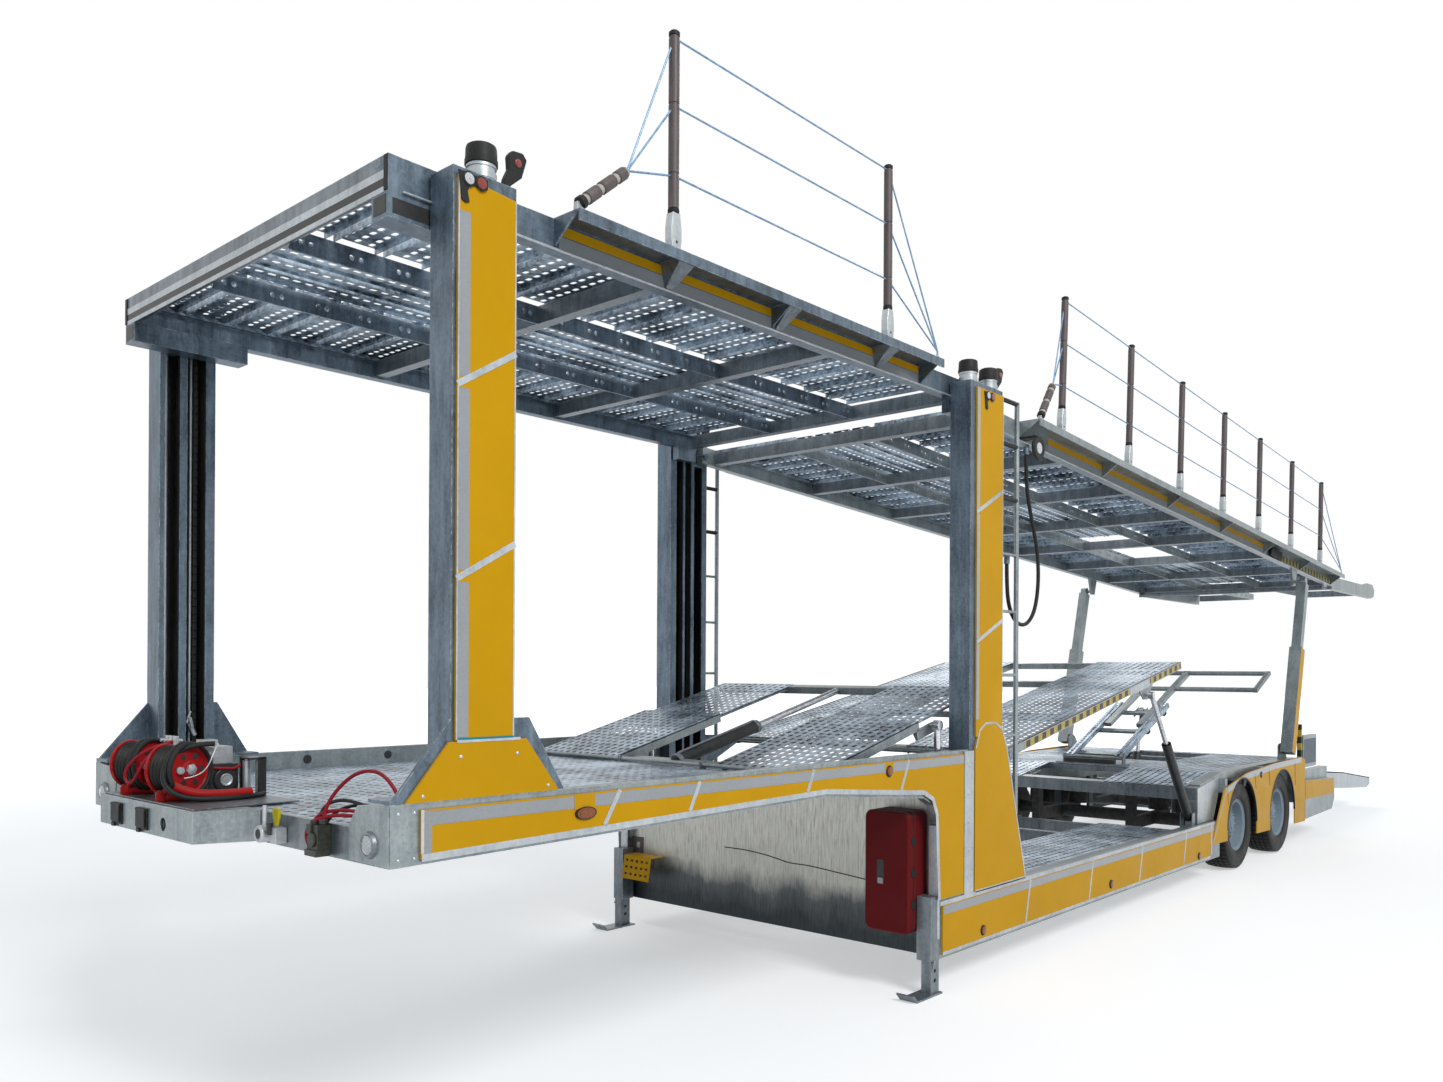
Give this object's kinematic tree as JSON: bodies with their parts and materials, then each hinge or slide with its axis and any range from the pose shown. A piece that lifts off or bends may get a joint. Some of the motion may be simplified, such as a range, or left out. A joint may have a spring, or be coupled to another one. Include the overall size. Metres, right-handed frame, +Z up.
{
  "type": "car transporter semi-trailer",
  "caption": "Double-deck car transporter semi-trailer on landing legs, with masts, tilting upper decks, hinged wheel tracks, a wheel lift and loading ramps.",
  "frame": {"origin": "on the ground under the middle of the whole, between its left and right sides", "axes": "+X to the nose, +Y to the left side, +Z up"},
  "size_m": [15.427, 2.574, 4.395],
  "materials": {
    "frame_paint": "warm yellow paint, satin",
    "galvanised": "hot-dip galvanised, mottled",
    "dark_steel": "black chassis paint, satin",
    "red_paint": "dark red, satin",
    "chrome_rod": "polished rod",
    "post_sleeve": "grey brown sleeve",
    "black_plastic": "black",
    "amber_lamp": "amber lens",
    "red_lamp": "red lens",
    "tyre_rubber": "worn tread rubber",
    "rim_paint": "silver grey paint",
    "hose_rubber": "black hose rubber"
  },
  "bodies": {
    "chassis": {"air_couplings": "black_plastic", "axles": "dark_steel", "bulkhead": "galvanised", "crossmembers": "galvanised", "extinguisher_box": "red_paint", "fenders": "frame_paint", "gooseneck_deck": "galvanised", "gooseneck_frame": "galvanised", "hose": "hose_rubber", "kingpin_plate": "dark_steel", "ladders": "galvanised", "landing_legs": "galvanised", "marker_lamps": "amber_lamp", "mast_claddings": "frame_paint", "mast_tops": "black_plastic", "masts_front": "galvanised", "masts_mid": "galvanised", "nose_box": "galvanised", "nose_winch": "red_paint", "pivot_brackets": "galvanised", "rear_boxes": "frame_paint", "rear_deck": "galvanised", "rear_frame": "galvanised", "side_skins": "frame_paint", "tail_lamps": "red_lamp", "well_floor": "galvanised", "well_frame": "galvanised", "wheel_chock": "frame_paint"},
    "deck_1": {"deck_1_frame": "galvanised", "deck_1_members": "galvanised", "deck_1_planks": "galvanised", "deck_1_railing": "post_sleeve"},
    "deck_2": {"deck_2_frame": "galvanised", "deck_2_members": "galvanised", "deck_2_planks": "galvanised", "deck_2_railing": "post_sleeve"},
    "strut_barrels": {"strut_barrels": "galvanised"},
    "strut_rods": {"strut_rods": "frame_paint"},
    "platform_1": {"platform_1": "galvanised"},
    "platform_1_slide": {"platform_1_slide": "galvanised"},
    "platform_1_lift_barrels": {"platform_1_lift_barrels": "dark_steel"},
    "platform_1_lift_rods": {"platform_1_lift_rods": "chrome_rod"},
    "platform_2": {"platform_2": "galvanised"},
    "platform_2_lift_barrels": {"platform_2_lift_barrels": "dark_steel"},
    "platform_2_lift_rods": {"platform_2_lift_rods": "chrome_rod"},
    "lift_frame": {"lift_frame": "galvanised"},
    "lift_slide": {"lift_slide": "galvanised"},
    "lift_cylinder_barrels": {"lift_cylinder_barrels": "dark_steel"},
    "lift_cylinder_rods": {"lift_cylinder_rods": "chrome_rod"},
    "ramp_left": {"ramp_left": "galvanised"},
    "ramp_right": {"ramp_right": "galvanised"},
    "wheel_front_left": {"tyre_front_left": "tyre_rubber", "rim_front_left": "rim_paint"},
    "wheel_front_right": {"tyre_front_right": "tyre_rubber", "rim_front_right": "rim_paint"},
    "wheel_rear_left": {"tyre_rear_left": "tyre_rubber", "rim_rear_left": "rim_paint"},
    "wheel_rear_right": {"tyre_rear_right": "tyre_rubber", "rim_rear_right": "rim_paint"}
  },
  "joints": [
    {"name": "deck_1_height", "type": "slide", "parent": "chassis", "child": "deck_1", "axis": [0, 0, 1], "range_m": [-1.3, 0]},
    {"name": "deck_2_tilt", "type": "hinge", "parent": "chassis", "child": "deck_2", "pos_m": [3.477, 0, 3.34], "axis": [0, 1, 0], "range_deg": [-5.8, 0]},
    {"name": "strut_swing", "type": "hinge", "parent": "chassis", "child": "strut_barrels", "pos_m": [-2.935, 0, 1.01], "axis": [0, 1, 0], "range_deg": [-5.6, 0]},
    {"name": "strut_length", "type": "slide", "parent": "strut_barrels", "child": "strut_rods", "axis": [-0.2899, 0, 0.9571], "range_m": [-0.7, 0]},
    {"name": "platform_1_tilt", "type": "hinge", "parent": "chassis", "child": "platform_1", "pos_m": [4.995, 0, 1.258], "axis": [0, 1, 0], "range_deg": [-14, 0]},
    {"name": "platform_1_reach", "type": "slide", "parent": "platform_1", "child": "platform_1_slide", "axis": [-0.9703, 0, 0.2418], "range_m": [-0.5, 0]},
    {"name": "platform_1_lift_swing", "type": "hinge", "parent": "chassis", "child": "platform_1_lift_barrels", "pos_m": [3.935, 0, 0.56], "axis": [0, 1, 0], "range_deg": [-2.5, 0]},
    {"name": "platform_1_lift_length", "type": "slide", "parent": "platform_1_lift_barrels", "child": "platform_1_lift_rods", "axis": [-0.0132, 0, 0.9999], "range_m": [-0.27, 0]},
    {"name": "platform_2_tilt", "type": "hinge", "parent": "chassis", "child": "platform_2", "pos_m": [3.055, 0, 1.258], "axis": [0, 1, 0], "range_deg": [-14.5, 0]},
    {"name": "platform_2_lift_swing", "type": "hinge", "parent": "chassis", "child": "platform_2_lift_barrels", "pos_m": [-0.105, 0, 0.58], "axis": [0, 1, 0], "range_deg": [0, 21.6]},
    {"name": "platform_2_lift_length", "type": "slide", "parent": "platform_2_lift_barrels", "child": "platform_2_lift_rods", "axis": [0.6266, 0, 0.7794], "range_m": [-0.42, 0]},
    {"name": "wheel_lift_tilt", "type": "hinge", "parent": "chassis", "child": "lift_frame", "pos_m": [-0.925, 0, 0.965], "axis": [0, 1, 0], "range_deg": [-21, 0]},
    {"name": "wheel_lift_reach", "type": "slide", "parent": "lift_frame", "child": "lift_slide", "axis": [-0.9315, 0, 0.3637], "range_m": [-0.4, 0]},
    {"name": "lift_cylinder_swing", "type": "hinge", "parent": "chassis", "child": "lift_cylinder_barrels", "pos_m": [-1.855, 0, 0.42], "axis": [0, 1, 0], "range_deg": [-18.4, 0]},
    {"name": "lift_cylinder_length", "type": "slide", "parent": "lift_cylinder_barrels", "child": "lift_cylinder_rods", "axis": [-0.2864, 0, 0.9581], "range_m": [-0.395, 0]},
    {"name": "ramp_left_stow", "type": "slide", "parent": "chassis", "child": "ramp_left", "axis": [0.9976, 0, 0.0697], "range_m": [0, 2.5]},
    {"name": "ramp_right_stow", "type": "slide", "parent": "chassis", "child": "ramp_right", "axis": [0.9976, 0, 0.0697], "range_m": [0, 2.5]},
    {"name": "wheel_front_left_spin", "type": "hinge", "parent": "chassis", "child": "wheel_front_left", "pos_m": [-1.215, 1.117, 0.398], "axis": [0, 1, 0], "continuous": true},
    {"name": "wheel_front_right_spin", "type": "hinge", "parent": "chassis", "child": "wheel_front_right", "pos_m": [-1.215, -1.117, 0.398], "axis": [0, 1, 0], "continuous": true},
    {"name": "wheel_rear_left_spin", "type": "hinge", "parent": "chassis", "child": "wheel_rear_left", "pos_m": [-2.485, 1.117, 0.398], "axis": [0, 1, 0], "continuous": true},
    {"name": "wheel_rear_right_spin", "type": "hinge", "parent": "chassis", "child": "wheel_rear_right", "pos_m": [-2.485, -1.117, 0.398], "axis": [0, 1, 0], "continuous": true}
  ],
  "couplings": [
    {"joint": "strut_swing", "follows": "deck_2_tilt", "ratio": 0.93196},
    {"joint": "strut_length", "follows": "deck_2_tilt", "m_per_rad": 6.8189},
    {"joint": "platform_1_lift_swing", "follows": "platform_1_tilt", "ratio": 0.16663},
    {"joint": "platform_1_lift_length", "follows": "platform_1_tilt", "m_per_rad": 1.0824},
    {"joint": "platform_2_lift_swing", "follows": "platform_2_tilt", "ratio": -1.468},
    {"joint": "platform_2_lift_length", "follows": "platform_2_tilt", "m_per_rad": 1.6513},
    {"joint": "lift_cylinder_swing", "follows": "wheel_lift_tilt", "ratio": 0.86326},
    {"joint": "lift_cylinder_length", "follows": "wheel_lift_tilt", "m_per_rad": 1.0672}
  ]
}
